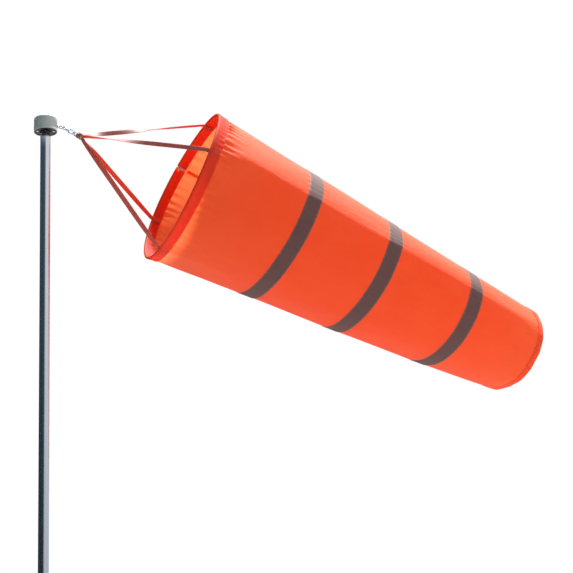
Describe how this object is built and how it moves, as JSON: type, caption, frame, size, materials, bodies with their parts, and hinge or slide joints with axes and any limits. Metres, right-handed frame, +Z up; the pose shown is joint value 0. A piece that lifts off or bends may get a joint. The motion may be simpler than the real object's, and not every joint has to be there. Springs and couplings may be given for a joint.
{
  "type": "windsock with pole",
  "caption": "Tapered fabric wind sleeve with reflective bands, held by a webbing bridle and swivel clasp to a rotating head on a plain metal pole.",
  "frame": {"origin": "centre of the flat underside of the plug in the foot of the pole", "axes": "+Z up the pole; +X the way the sock streams at rest, seen from above; +Y to its left"},
  "size_m": [1.0993, 0.3274, 1.2642],
  "materials": {
    "stainless": "bright drawn stainless tube",
    "plug_plastic": "black moulded plastic",
    "zinc_plate": "zinc plated steel",
    "bearing_steel": "ground steel",
    "head_plastic": "grey moulded plastic, slightly glossy",
    "plate_plastic": "dark moulded plastic",
    "hardware_steel": "polished plated steel",
    "webbing": "narrow woven polyester webbing",
    "thread": "wound and sewn thread",
    "spring_steel": "spring steel wire",
    "tab_tape": "pale sewn tape",
    "binding": "folded binding of the sock cloth",
    "ripstop": "thin coated woven nylon",
    "reflective": "silver grey reflective tape"
  },
  "bodies": {
    "pole": {"pole_tube": "stainless", "foot_plug": "plug_plastic", "spindle_plug": "zinc_plate", "bearing_inner": "bearing_steel", "spindle_washer": "zinc_plate", "spindle_screw": "zinc_plate"},
    "head": {"head_shell": "head_plastic", "base_plate": "plate_plastic", "plate_screw_1": "bearing_steel", "plate_screw_2": "bearing_steel", "bearing_outer": "bearing_steel", "bearing_balls": "bearing_steel", "eye_bolt": "zinc_plate", "eye_nut": "zinc_plate"},
    "swivel": {"swivel_eye": "hardware_steel"},
    "clasp": {"clasp_body": "hardware_steel", "gate_pin": "zinc_plate"},
    "gate": {"clasp_gate": "hardware_steel"},
    "sock": {"bridle_ring": "hardware_steel", "bridle_strap_1": "webbing", "bridle_strap_2": "webbing", "strap_whipping": "thread", "mouth_hoop": "spring_steel", "hem_tab": "tab_tape", "mouth_binding": "binding", "sock_panel_1": "ripstop", "sock_panel_2": "ripstop", "sock_panel_3": "ripstop", "sock_panel_4": "ripstop", "sock_seam": "binding", "reflective_band_1": "reflective", "reflective_band_2": "reflective", "reflective_band_3": "reflective", "tail_binding": "binding"}
  },
  "joints": [
    {"name": "head_turn", "type": "hinge", "parent": "pole", "child": "head", "pos_m": [0, 0, 1.2], "axis": [0, 0, 1], "continuous": true},
    {"name": "link_pitch", "type": "hinge", "parent": "head", "child": "swivel", "pos_m": [0.033, 0, 1.2015], "axis": [0, 1, 0], "range_deg": [-20, 20], "stiffness_Nm_per_rad": 74, "springref_deg": -1.25},
    {"name": "clasp_spin", "type": "hinge", "parent": "swivel", "child": "clasp", "pos_m": [0.04532, 0, 1.19735], "axis": [0.9478, 0, -0.319], "continuous": true},
    {"name": "gate_open", "type": "hinge", "parent": "clasp", "child": "gate", "pos_m": [0.05012, 0, 1.1997], "axis": [0, 1, 0], "range_deg": [0, 22], "stiffness_Nm_per_rad": 0.02, "springref_deg": -17.19},
    {"name": "bridle_swing", "type": "hinge", "parent": "clasp", "child": "sock", "pos_m": [0.05669, 0, 1.19353], "axis": [0, 1, 0], "range_deg": [-20, 20], "stiffness_Nm_per_rad": 71, "springref_deg": -1.25}
  ]
}
